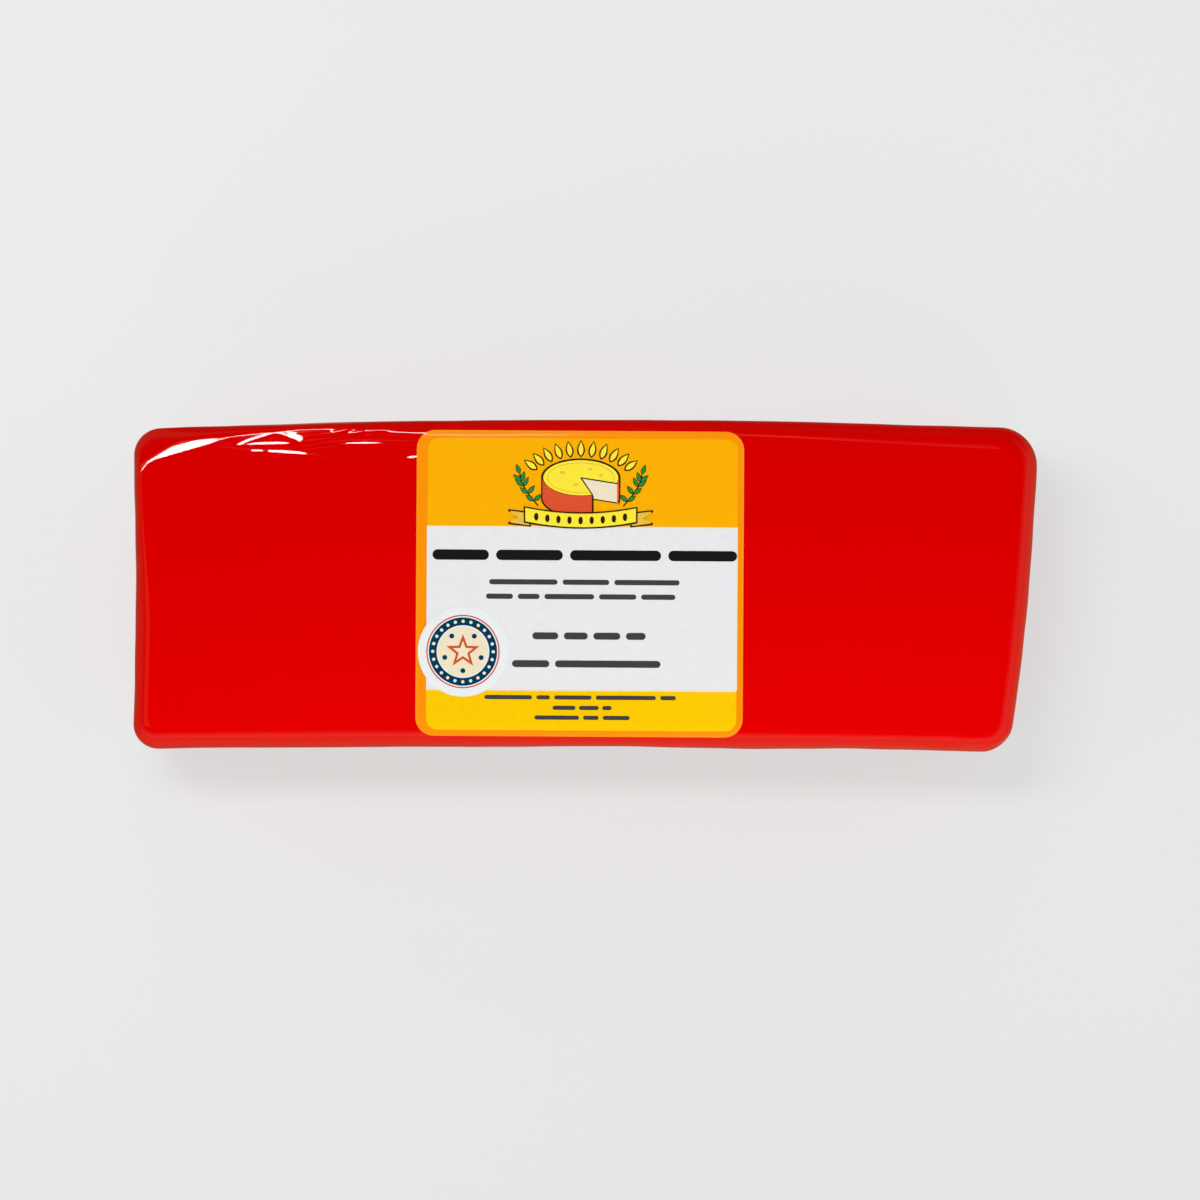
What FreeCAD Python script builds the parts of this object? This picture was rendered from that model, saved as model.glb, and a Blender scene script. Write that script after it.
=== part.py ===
"""Bar of cheddar in a red coat, with a paper label and a round seal.

Millimetres, +Z up.  The bar lies on its flat back with the label face up and X along its length.
"Far" is +Y, "near" is -Y, "left" is -X and "right" is +X.  The origin is the middle of the bar's
footprint, on the surface that it lies on.
"""
import FreeCAD, Part
import os
import Sketcher

# length and width run between the corners of the outline as they are before they are rounded
SIZES = {
    "block_length": 176.6,
    "block_width": 64.5,
    "block_height": 39.0,
    "left_end_lean": 0.3,
    "right_end_lean": 5.6,
    "near_side_skew": 0.5,
    "far_side_bow": 1.85,
    "near_side_hollow": 0.8,
    "left_end_hollow": 0.6,
    "right_end_bow": 0.95,
    "far_left_round": 5.2,
    "near_left_round": 5.1,
    "near_right_round": 5.4,
    "far_right_round": 7.4,
    "face_edge_round": 4.8,
    "back_edge_round": 3.5,
    "label_width": 63.5,
    "label_height": 59.8,
    "label_round": 3.7,
    "label_middle_along": -1.0,
    "label_middle_across": 0.4,
    "paper_thickness": 0.2,
    "seal_radius": 8.75,
    "seal_middle_along": -23.7,
    "seal_middle_across": -12.7,
}

# the corners of the outline in turn round the bar, as formulas on the sheet
HALF_LENGTH = "Sizes.block_length / 2"
HALF_WIDTH = "Sizes.block_width / 2"
CORNERS = {
    "far_left": (f"Sizes.left_end_lean - {HALF_LENGTH}", f"{HALF_WIDTH} - Sizes.far_side_bow"),
    "near_left": (f"-{HALF_LENGTH}", f"Sizes.near_side_skew - {HALF_WIDTH}"),
    "near_right": (f"{HALF_LENGTH} - Sizes.right_end_lean", f"-{HALF_WIDTH}"),
    "far_right": (HALF_LENGTH, f"{HALF_WIDTH} - Sizes.far_side_bow"),
}

# the sides: the corners that each runs between, how far it leaves the straight line between them, and
# whether it stands out from that line or is hollow
OUTWARD, HOLLOW = 1, -1
SIDES = {
    "left_end": ("far_left", "near_left", "Sizes.left_end_hollow", HOLLOW),
    "near_side": ("near_left", "near_right", "Sizes.near_side_hollow", HOLLOW),
    "right_end": ("near_right", "far_right", "Sizes.right_end_bow", OUTWARD),
    "far_side": ("far_right", "far_left", "Sizes.far_side_bow", OUTWARD),
}

# how a constraint names the start of a piece of a sketch, its end, and the sketch's own origin
START, END = 1, 2
ORIGIN = (-1, 1)
TOUCHING = 0.01

doc = FreeCAD.newDocument("cheddar_block")


def make_sheet():
    """The driving dimensions, one row each: a name in column A and its aliased number in column B."""
    sheet = doc.addObject("Spreadsheet::Sheet", "Sizes")
    for row, (name, value) in enumerate(SIZES.items(), start=1):
        sheet.set(f"A{row}", name)
        sheet.set(f"B{row}", str(value))
        sheet.setAlias(f"B{row}", name)
    doc.recompute()
    return sheet


def worked_out(formula):
    """The number that a formula on the sheet gives."""
    return float(sheet.evalExpression(formula))


def point_at(formulas):
    """The point of a sketch that two formulas on the sheet give."""
    across, up = formulas
    return FreeCAD.Vector(worked_out(across), worked_out(up), 0)


def add_body(label):
    """A named body at the part's origin."""
    body = doc.addObject("PartDesign::Body", label)
    body.Label = label
    body.Placement = FreeCAD.Placement()
    return body


def add_sketch(body, name):
    """A sketch on the flat origin plane of its own body."""
    sketch = body.newObject("Sketcher::SketchObject", name)
    plane = next(item for item in body.Origin.OriginFeatures if item.Role == "XY_Plane")
    sketch.AttachmentSupport = [(plane, "")]
    sketch.MapMode = "FlatFace"
    return sketch


def drive(sketch, name, formula, kind, *places):
    """Add a constraint to a sketch, name it and bind its value to a formula on the sheet."""
    index = sketch.addConstraint(Sketcher.Constraint(kind, *places, worked_out(formula)))
    sketch.renameConstraint(index, name)
    sketch.setExpression(f"Constraints.{name}", formula)


def pin(sketch, name, geometry, formulas):
    """Hold the start of a piece of a sketch at two formulas, measured from the sketch's origin."""
    across, up = formulas
    drive(sketch, f"{name}_across", across, "DistanceX", *ORIGIN, geometry, START)
    drive(sketch, f"{name}_up", up, "DistanceY", *ORIGIN, geometry, START)


def add_pad(body, sketch, name, length):
    """Raise a sketch by a length on the sheet."""
    pad = body.newObject("PartDesign::Pad", name)
    pad.Profile = sketch
    pad.setExpression("Length", length)
    doc.recompute()


def add_fillet(body, name, radius, chosen):
    """Round the edges of the body's present shape that the test picks."""
    base = body.Tip
    edges = [f"Edge{n}" for n, edge in enumerate(base.Shape.Edges, start=1) if chosen(edge.BoundBox)]
    fillet = body.newObject("PartDesign::Fillet", name)
    fillet.Base = (base, edges)
    fillet.setExpression("Radius", radius)
    doc.recompute()


def is_upright(box):
    """Whether an edge's box is that of an edge that runs straight up."""
    return box.XLength < TOUCHING and box.YLength < TOUCHING


def on_back(box):
    """Whether an edge lies in the plane of the flat back."""
    return box.ZMax < TOUCHING


def on_face(box):
    """Whether an edge lies in the plane of the labelled face."""
    return box.ZMin > worked_out("Sizes.block_height") - TOUCHING


def side_arc(sketch, name):
    """One side of the outline, as an arc of radius chord squared / (8 bow) + bow / 2.

    A sketch's arcs run anticlockwise, so a hollow side is drawn from its last corner to its first.
    """
    first, last, bow, direction = SIDES[name]
    a, b = point_at(CORNERS[first]), point_at(CORNERS[last])
    outward = FreeCAD.Vector(b.y - a.y, a.x - b.x, 0).normalize()
    top = (a + b) / 2 + outward * direction * worked_out(bow)
    ends = (a, top, b) if direction == OUTWARD else (b, top, a)
    arc = sketch.addGeometry(Part.Arc(*ends))
    (x1, y1), (x2, y2) = CORNERS[first], CORNERS[last]
    chord_squared = f"((({x2}) - ({x1}))^2 + (({y2}) - ({y1}))^2)"
    drive(sketch, f"{name}_radius", f"{chord_squared} / (8 * {bow}) + {bow} / 2", "Radius", arc)
    return arc


def round_corner(sketch, name, before, after):
    """Round the corner where side number before meets side number after."""
    sides = list(SIDES.values())
    corner = point_at(CORNERS[name])
    radius = worked_out(f"Sizes.{name}_round")
    neighbours = (point_at(CORNERS[sides[before][0]]), point_at(CORNERS[sides[after][1]]))
    beside = [corner + (neighbour - corner).normalize() * radius for neighbour in neighbours]
    sketch.fillet(before, after, *beside, radius, True, False)
    drive(sketch, f"{name}_round", f"Sizes.{name}_round", "Radius", sketch.GeometryCount - 1)


def hold_corner(sketch, name, before, after):
    """Hold two sides by the corner that they would meet in, which stays as a construction point."""
    post = sketch.addGeometry(Part.Point(point_at(CORNERS[name])), True)
    for side in (before, after):
        sketch.addConstraint(Sketcher.Constraint("PointOnObject", post, START, side))
    pin(sketch, name, post, CORNERS[name])


def make_block():
    """The bar itself: its bowed outline with round corners, raised, and its two rims rounded."""
    body = add_body("cheddar_block")
    outline = add_sketch(body, "block_outline")
    sides = [side_arc(outline, name) for name in SIDES]
    meetings = list(zip(CORNERS, sides[-1:] + sides[:-1], sides))
    for name, before, after in meetings:
        round_corner(outline, name, before, after)
    for name, before, after in meetings:
        hold_corner(outline, name, before, after)
    add_pad(body, outline, "raised_outline", "Sizes.block_height")
    add_fillet(body, "face_edge", "Sizes.face_edge_round", on_face)
    add_fillet(body, "back_edge", "Sizes.back_edge_round", on_back)
    return body


def make_label_cutter():
    """The label's rounded rectangle, raised from half the bar's height to well above it."""
    body = add_body("label_cutter")
    body.setExpression("Placement.Base.z", "Sizes.block_height / 2")
    outline = add_sketch(body, "label_outline")
    corners = {}
    for name, across, up in (("near_left", "-", "-"), ("near_right", "+", "-"),
                             ("far_right", "+", "+"), ("far_left", "-", "+")):
        corners[name] = (f"Sizes.label_middle_along {across} Sizes.label_width / 2",
                         f"Sizes.label_middle_across {up} Sizes.label_height / 2")
    points = [point_at(formulas) for formulas in corners.values()]
    lines = [outline.addGeometry(Part.LineSegment(p, q)) for p, q in zip(points, points[1:] + points[:1])]
    for line, following in zip(lines, lines[1:] + lines[:1]):
        outline.addConstraint(Sketcher.Constraint("Coincident", line, END, following, START))
    for line, (name, formulas) in zip(lines, corners.items()):
        pin(outline, name, line, formulas)
    add_pad(body, outline, "label_prism", "Sizes.block_height")
    add_fillet(body, "label_corners", "Sizes.label_round", is_upright)
    return body


def make_seal_cutter():
    """The seal's round outline, raised from half the bar's height to well above it."""
    rod = doc.addObject("Part::Cylinder", "seal_cutter")
    rod.setExpression("Radius", "Sizes.seal_radius")
    rod.setExpression("Height", "Sizes.block_height")
    rod.setExpression("Placement.Base.x", "Sizes.seal_middle_along")
    rod.setExpression("Placement.Base.y", "Sizes.seal_middle_across")
    rod.setExpression("Placement.Base.z", "Sizes.block_height / 2")
    return rod


def lifted(source, name, height):
    """A copy of a solid, raised by a height on the sheet."""
    copy = doc.addObject("Part::Compound", name)
    copy.Links = [source]
    copy.setExpression("Placement.Base.z", height)
    return copy


def stuck_on(label, cutter, below, above):
    """A thin sheet stuck to the face: what lies between two skins, cut to an outline seen from above."""
    layer = doc.addObject("Part::Common", f"{label}_layer")
    layer.Base = above
    layer.Tool = cutter
    piece = doc.addObject("Part::Cut", label)
    piece.Base = layer
    piece.Tool = below
    piece.Label = label
    piece.Placement = FreeCAD.Placement()
    return piece


sheet = make_sheet()
block = make_block()
label_top = lifted(block, "label_top", "Sizes.paper_thickness")
seal_top = lifted(block, "seal_top", "2 * Sizes.paper_thickness")
label = stuck_on("paper_label", make_label_cutter(), block, label_top)
seal = stuck_on("round_seal", make_seal_cutter(), label_top, seal_top)
doc.recompute()

for item in doc.Objects:
    if "Invalid" in item.State or "Error" in item.State:
        raise RuntimeError(f"{item.Name} failed: {item.State}")
pieces = (block, label, seal)
for piece in pieces:
    if piece.Shape.isNull() or not piece.Shape.isValid() or len(piece.Shape.Solids) != 1:
        raise RuntimeError(f"{piece.Label} isn't one valid solid")

os.makedirs("parts", exist_ok=True)
for piece in pieces:
    piece.Shape.exportStep(f"parts/{piece.Label}.step")
    print(f"{piece.Label}: {piece.Shape.Volume:.0f} mm3")
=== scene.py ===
"""Builds a waxed cheddar block with its paper label, a round paper seal and a pale studio floor.

Every piece is a surface worked out with numpy: a function of two parameters on a whole grid at once.
Settings are in metres, and the shape functions work in millimetres, in the frame of the CAD model: X
runs along the block, Y from its near side to its far side, and Z up.
"""

import bmesh
import bpy
import numpy as np
from bpy.props import FloatProperty, FloatVectorProperty, IntProperty, PointerProperty
from mathutils import Matrix, Vector


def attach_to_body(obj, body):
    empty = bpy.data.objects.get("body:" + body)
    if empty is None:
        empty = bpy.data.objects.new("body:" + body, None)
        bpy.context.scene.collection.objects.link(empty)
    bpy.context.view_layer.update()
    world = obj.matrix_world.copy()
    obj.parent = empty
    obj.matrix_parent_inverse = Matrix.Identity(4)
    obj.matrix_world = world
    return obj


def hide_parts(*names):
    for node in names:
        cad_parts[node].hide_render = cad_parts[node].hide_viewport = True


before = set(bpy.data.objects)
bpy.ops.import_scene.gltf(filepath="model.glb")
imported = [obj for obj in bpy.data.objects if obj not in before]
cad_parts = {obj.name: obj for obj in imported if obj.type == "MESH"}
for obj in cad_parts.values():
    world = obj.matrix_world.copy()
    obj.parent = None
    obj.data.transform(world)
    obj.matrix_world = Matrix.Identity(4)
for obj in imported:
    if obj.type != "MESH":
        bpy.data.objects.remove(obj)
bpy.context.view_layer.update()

bl_info = {
    "name": "Cheddar Block Maker",
    "version": (1, 0, 0),
    "blender": (4, 5, 0),
    "location": "View3D > Sidebar > Cheddar",
    "description": "Makes a red-coated cheddar block, its paper label and seal, and a studio floor",
    "category": "Add Mesh",
}

MM = 0.001
# edges sharper than this angle, in radians, stay sharp on thin slabs
SHARP_FROM = 0.7
# doubled points nearer than this are merged, and edges shorter than the next are dissolved, in metres
MERGE, SLIVER = 2e-6, 1e-7
FILL_LIT = "lit_by_fill"
SENSOR = 36.0
# tones that glossy rays find: the near floor, the floor by the block, the air, and its left side
WARM_WHITE = (1.0, 0.91, 0.52, 1.0)
PINK_BOUNCE = (1.0, 0.42, 0.42, 1.0)
PALE_AIR = (1.0, 0.95, 0.85, 1.0)
WARM_SIDE = (1.0, 0.50, 0.10, 1.0)
# the floor turns from shadow-keeping to its own colour between these distances, in metres
NEAR, FAR = 0.25, 0.9
# within that: strength of the floor's own colour, and the part that keeps the shadow
OWN_NEAR, SHADOWED_NEAR = 1.159, 0.42
# half of the ground that the block covers, in metres
FOOT_X, FOOT_Y = 0.088, 0.032
# depth of the print and of the emblem below their top, and the height of an emblem layer, in millimetres
SINK, SHALLOW, LAYER = 0.05, 0.03, 0.014


def length(name, description, millimetres):
    """A length setting: kept in metres, written here in millimetres."""
    return FloatProperty(
        name=name, description=description, default=millimetres * MM, unit="LENGTH", subtype="DISTANCE"
    )


def place(name, description, *millimetres):
    """A place or a size along two or three axes: kept in metres, written here in millimetres."""
    metres, size = [value * MM for value in millimetres], len(millimetres)
    return FloatVectorProperty(name=name, description=description, default=metres, size=size, unit="LENGTH")


def colour(name, description, red, green, blue):
    """A colour setting, as linear red, green and blue."""
    return FloatVectorProperty(
        name=name, description=description, default=(red, green, blue), size=3, min=0, max=1, subtype="COLOR"
    )


# ---- settings


class BlockSizes(bpy.types.PropertyGroup):
    """Sizes of the waxed block."""

    half_length: length("Half length", "Half of the straight length of the block", 88.05)
    half_width: length("Half width", "Half of the straight width of the block", 32.2)
    height: length("Height", "From the floor to the flat of the face", 39.0)
    left_lean: length("Left lean", "How far the left end's far corner leans to the right", 0.3)
    right_lean: length("Right lean", "How far the right end's near corner falls short", 5.6)
    near_skew: length("Near skew", "How far the near side's left end sits towards the back", 0.5)
    far_bow: length("Far bow", "How far the far side bows out in its middle", 1.85)
    near_hollow: length("Near hollow", "How far the near side draws in at its middle", 0.8)
    left_hollow: length("Left hollow", "How far the left end draws in at its middle", 0.6)
    right_bow: length("Right bow", "How far the right end bows out at its middle", 0.95)
    crown: length("Face rise", "How much the middle of the face stands above its edges", 0.3)
    side_swell: length("Side swell", "How far the sides stand out at mid height", 0.35)
    base_round: length("Base round", "Radius of the edge round the base", 3.4)


class LabelSizes(bpy.types.PropertyGroup):
    """Sizes of the paper label and its printed fields."""

    width: length("Width", "Label width along the block", 63.3)
    depth: length("Depth", "Label size across the block", 59.2)
    corner: length("Corner round", "Radius of the label's corners", 3.6)
    middle_x: length("Middle X", "Where the label's middle is along the block", -1.0)
    middle_y: length("Middle Y", "Where the label's middle is across the block", 0.4)
    thickness: length("Thickness", "Thickness of the label paper and its glue", 0.11)
    ink: length("Ink", "How far the print stands above the paper", 0.02)


class SealSizes(bpy.types.PropertyGroup):
    """Sizes of the round paper seal."""

    radius: length("Radius", "Radius of the seal", 8.72)
    middle_x: length("Middle X", "Where the seal's middle is along the block", -23.5)
    middle_y: length("Middle Y", "Where the seal's middle is across the block", -12.7)
    thickness: length("Thickness", "Thickness of the seal paper", 0.08)
    star_points: IntProperty(name="Star points", description="Points of the printed star", default=5, min=3)


class Colours(bpy.types.PropertyGroup):
    """Colours of the coat, the papers and the inks."""

    coat: colour("Coat", "Red coat of the block", 0.85, 0.0, 0.0)
    coat_deep: colour("Deep coat", "Red coat where it lies thicker", 0.77, 0.0, 0.0)
    stock: colour("Label border", "Orange border of the label", 1.0, 0.30, 0.003)
    stock_rim: colour("Label rim", "Lighter rim along the label's cut edge", 1.0, 0.31, 0.014)
    amber: colour("Amber field", "Upper field of the label", 1.0, 0.45, 0.002)
    white: colour("White field", "Middle field of the label", 0.84, 0.84, 0.86)
    yellow: colour("Yellow field", "Lower field of the label", 1.0, 0.60, 0.002)
    cream: colour("Cream", "Cream of the seal's middle and of the field's fringe", 0.90, 0.79, 0.57)
    black: colour("Black ink", "Ink of the lines", 0.012, 0.010, 0.010)
    grey: colour("Grey ink", "Ink of the small lines", 0.060, 0.052, 0.054)
    outline: colour("Outline ink", "Dark brown outline of the emblem", 0.03, 0.016, 0.004)
    lemon: colour("Lemon ink", "Light yellow of the emblem", 1.0, 0.83, 0.05)
    straw: colour("Straw ink", "Shaded yellow of the emblem", 0.88, 0.52, 0.06)
    wax: colour("Wax ink", "Red of the emblem's cheese", 0.74, 0.09, 0.03)
    leaf: colour("Leaf ink", "Green of the emblem's leaves", 0.03, 0.26, 0.05)
    seal: colour("Seal paper", "Paper of the seal", 0.85, 0.88, 0.885)
    navy: colour("Navy ink", "Dark blue of the seal", 0.0, 0.045, 0.105)
    rust: colour("Rust ink", "Orange red of the seal", 0.66, 0.09, 0.025)
    floor: colour("Floor", "Pale studio floor", 0.8148, 0.8148, 0.8148)
    floor_by_block: colour("Floor by the block", "Floor where red light is thrown", 0.812, 0.852, 0.852)
    floor_lit: colour("Lit floor", "The part of the floor's colour that takes the shadow", 0.95, 0.95, 0.95)


class StudioSizes(bpy.types.PropertyGroup):
    """Sizes of the stage, its lamps and the camera."""

    floor_radius: length("Floor radius", "Radius of the studio floor", 6000.0)
    box_place: place("Softbox place", "Middle of the softbox", -150.0, 150.0, 640.0)
    box_size: place("Softbox size", "Size of the softbox along and across the block", 280.0, 100.0)
    box_watts: FloatProperty(name="Softbox power", description="Power of the softbox", default=1.3)
    fill_watts: FloatProperty(name="Fill power", description="Power of the fill lamp", default=1.05)
    fill_place: place("Fill place", "Middle of the fill lamp", 150.0, -280.0, 440.0)
    fill_size: place("Fill size", "Size of the fill lamp", 400.0, 200.0)
    ambient: FloatProperty(name="Ambient", description="Strength of the world on the object", default=0.44)
    camera_place: place("Camera place", "Where the camera looks down from", 2.92, -2.73, 916.0)
    lens: FloatProperty(name="Lens", description="Focal length of the camera, in millimetres", default=136.0)


# ---- shape of the block


def ease(value, low, high):
    """0 below low, 1 above high, and a smooth S between them: three squares less two cubes."""
    k = np.clip((value - low) / (high - low), 0, 1)
    return k * k * (3 - 2 * k)


def hump(value, middle, spread):
    """A bell curve of height 1: e to the minus square of the distance from middle over spread."""
    return np.exp(-(((value - middle) / spread) ** 2))


def bow(part):
    """A parabola that is 0 at both ends of 0 to 1 and 1 in the middle."""
    return 4 * part * (1 - part)


def mix(a, b, k):
    """A straight blend from a at k = 0 to b at k = 1."""
    return a + (b - a) * k


class Ripples:
    """Soft seeded unevenness: a sum of sines, each with its own direction, wavelength and start."""

    def __init__(self, seed, wavelength, waves=14):
        rng = np.random.default_rng(seed)
        direction = rng.normal(size=(waves, 3))
        direction /= np.linalg.norm(direction, axis=1, keepdims=True)
        self.waves = direction * (2 * np.pi / (wavelength * rng.uniform(0.7, 1.6, (waves, 1))))
        self.start = rng.uniform(0, 2 * np.pi, waves)

    def at(self, x, y, z):
        """Between about -1 and 1 at each point."""
        phase = np.stack([x, y, z], -1) @ self.waves.T + self.start
        return np.sin(phase).sum(-1) / np.sqrt(len(self.start))


class Block:
    """The waxed block, worked out from its sizes, in millimetres.

    Its plan is a straight rectangle with rounded corners (u along, v across), bent to the bowed
    outline by bend(). Its rim is an elliptical round, reach wide and drop deep, and on its face
    lie the folds of the tight coat, which relief() adds up.
    """

    # start x, start y, end x, end y, sag, half thickness, height, taper of each raised fold
    folds = (
        (-66.6, 27.35, -59.2, 29.75, 0.10, 0.26, 0.040, 0.30),
        (-59.6, 29.60, -54.7, 27.55, 0.12, 0.70, 0.100, 0.35),
        (-67.2, 27.20, -54.6, 27.45, 0.05, 0.22, 0.032, 0.15),
        (-64.6, 25.95, -62.3, 25.98, 0.00, 0.18, 0.030, 0.60),
        (-61.4, 25.85, -53.8, 25.35, 0.05, 0.26, 0.040, 0.45),
        (-79.4, 27.75, -75.6, 29.20, 0.00, 0.26, 0.060, 0.80),
        (-49.2, 29.60, -44.8, 30.60, -0.10, 0.36, 0.160, 0.60),
        (-46.0, 29.35, -42.6, 30.00, 0.00, 0.32, 0.120, 0.60),
        (-41.8, 30.00, -36.4, 30.70, 0.00, 0.32, 0.140, 0.60),
        (-48.0, 27.30, -38.0, 27.50, 0.08, 0.24, 0.026, 0.90),
        (-34.6, 24.60, -32.0, 24.85, 0.00, 0.24, 0.030, 0.60),
        (-72.4, 27.95, -62.0, 30.60, -0.10, 0.15, 0.014, 0.40),
    )

    def __init__(self, sizes):
        for name in BlockSizes.__annotations__:
            setattr(self, name, getattr(sizes, name) / MM)
        # near left, near right, far right, far left
        self.corners = np.array([5.1, 5.4, 7.4, 5.2])
        self.broad = Ripples(11, 34.0)
        self.fine = Ripples(12, 9.0)
        self.ragged = Ripples(13, 5.0)
        self.pull = Ripples(14, 16.0)

    def shares(self, u, v):
        """How far along and across the plain rectangle a point lies, each from 0 to 1."""
        return (u / self.half_length + 1) / 2, (v / self.half_width + 1) / 2

    def bend(self, u, v):
        """Carries the straight plan to the bowed one: each side's lean and bow, shared out between sides."""
        s, t = self.shares(u, v)
        left = self.left_lean * t + self.left_hollow * bow(t)
        right = self.right_bow * bow(t) - self.right_lean * (1 - t)
        near = self.near_skew * (1 - s) + self.near_hollow * bow(s)
        far = self.far_bow * (bow(s) - 1)
        return u + mix(left, right, s), v + mix(near, far, t)

    def unbend(self, x, y):
        """The point of the straight plan that bend() carries to x, y, found in five steps back."""
        u, v = np.array(x, float), np.array(y, float)
        for _ in range(5):
            bent_x, bent_y = self.bend(u, v)
            u, v = u + x - bent_x, v + y - bent_y
        return u, v

    def rim(self, u, v):
        """Reach and drop of the rim's round next to a point of the straight plan.

        Each side has its own pair, blended round the corners by how near the sides are. The far
        rim draws in tight where the coat bridges it, left of the label.
        """
        s, t = self.shares(np.asarray(u, float), np.asarray(v, float))
        far_reach = mix(3.0, 4.6, ease(s, 0.62, 0.97)) - 1.7 * hump(u, -52.0, 17.0)
        near_reach = mix(5.4, 4.6, ease(s, 0.15, 0.6))
        left_reach = mix(3.3, 1.6, ease(t, 0.35, 0.85))
        wide, long = self.half_width, self.half_length
        sides = np.stack([wide + v, long - u, wide - v, long + u])
        weight = np.exp(-np.clip(sides - sides.min(0), 0, 60) / 2.2)
        weight = weight / weight.sum(0)
        flat = np.ones_like(u)
        reach = (weight * np.stack([near_reach, 5.0 * flat, far_reach, left_reach])).sum(0)
        drop = (weight * np.stack([6.8 * flat, 5.8 * flat, 4.6 * flat, 6.0 * flat])).sum(0)
        return reach, drop

    def inset(self, u, v):
        """Distance in from the edge of the rounded rectangle, in the straight plan."""
        corner = self.corner_near(u, v)
        du = np.abs(u) - (self.half_length - corner)
        dv = np.abs(v) - (self.half_width - corner)
        outside = np.hypot(np.maximum(du, 0), np.maximum(dv, 0)) + np.minimum(np.maximum(du, dv), 0)
        return corner - outside

    def corner_near(self, u, v):
        """Corner radius of the quarter that a point is in."""
        near_left, near_right, far_right, far_left = self.corners
        return np.where(v < 0, np.where(u < 0, near_left, near_right), np.where(u < 0, far_left, far_right))

    def face_height(self, x, y, folds=1.0):
        """Height of the face over x, y: the flat, less the rim's elliptical fall, plus crown and folds.

        folds is the share of the coat's folds that shows, which is less under the label.
        """
        u, v = self.unbend(x, y)
        reach, drop = self.rim(u, v)
        sine = np.clip(1 - self.inset(u, v) / reach, 0, 1)
        upright = np.sqrt(1 - sine**2)
        return self.height - drop * (1 - upright) + upright * self.relief(x, y, folds)

    def relief(self, x, y, folds=1.0):
        """What stands on the flat face: a low crown, soft unevenness, and the folds of the coat.

        The crown is a parabola across and a fourth power along. A fold is a bell curve across a
        sagging line, tapered to its ends. Beyond the corner's slanted line the face falls away
        as a facet, and beyond a second line the facet steepens.
        """
        u, v = self.unbend(x, y)
        z = self.crown * (1 - (v / self.half_width) ** 2) * (1 - (u / self.half_length) ** 4)
        z = z + 0.05 * self.broad.at(x, y, 0 * x) * folds
        for x0, y0, x1, y1, sag, thick, high, taper in self.folds:
            along, across = self.from_line(x, y, (x0, y0), (x1, y1), sag)
            ends = np.clip(bow(along), 0, None) ** taper
            z = z + folds * high * ends * hump(across, 0, thick)
        z = z + folds * self.long_fold(x, y) - folds * self.corner_facet(x, y)
        return z + folds * self.tension(x, y)

    @staticmethod
    def from_line(x, y, start, end, sag):
        """Share along, and distance to the far side of, a line that sags by a parabola."""
        (x0, y0), (x1, y1) = start, end
        span = np.hypot(x1 - x0, y1 - y0)
        way_x, way_y = (x1 - x0) / span, (y1 - y0) / span
        along = ((x - x0) * way_x + (y - y0) * way_y) / span
        return along, (y - y0) * way_x - (x - x0) * way_y - sag * bow(along)

    def corner_facet(self, x, y):
        """Fall of the far left corner's facet: a soft ramp beyond a slanted line, then a steeper one."""
        _, beyond = self.from_line(x, y, (-84.6, 24.0), (-62.0, 30.7), 0.0)
        left = 0.8 * (-84.8 - x + 0.6 * (y - 24))
        soft = 0.45
        beyond = soft * np.logaddexp(beyond / soft, left / soft)
        fall = 0.085 * 0.06 * np.logaddexp(0, beyond / 0.06)
        reach = np.clip(0.7 + 0.3 * (x + 84.1), 0.35, 1.9)
        fall = fall + 0.4 * 0.2 * np.logaddexp(0, (beyond - reach) / 0.2)
        return fall * (1 - ease(x, -67, -60)) * ease(y, 17, 23)

    def long_fold(self, x, y):
        """A faint fold that wanders from the corner to the label, as a bell curve across it."""
        where = (-76.0, -71.8, -65.3, -60.0, -54.5, -46.8, -40.0, -32.7, -20.0)
        line = (26.4, 26.8, 26.2, 25.9, 25.5, 24.3, 24.2, 24.8, 26.3)
        seen = ease(x, -74, -68) * (1 - ease(x, -31, -26))
        return 0.004 * seen * hump(y, np.interp(x, where, line), 0.25)

    def tension(self, x, y):
        """The stretched coat along the far edge, left of the label: fine lines as sines across, fading out,
        and shallow puckers at the rim as sines along."""
        place = ease(y, 24.5, 27.5) * (1 - ease(y, 30.0, 31.5)) * hump(x, -44, 16)
        sway = 0.05 * (x + 45) + 0.35 * np.sin(x / 4.1)
        lines = 0.0024 * place * (np.sin((y - sway) * 7.1) + 0.7 * np.sin((y - 0.6 * sway) * 11.3 + 1.2))
        puckers = 0.008 * ease(y, 28.8, 30.6) * hump(x, -44, 11)
        return lines + puckers * (np.sin(x * 1.05 + 0.4 * y) + 0.5 * np.sin(x * 2.3 + 1.0))


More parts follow.
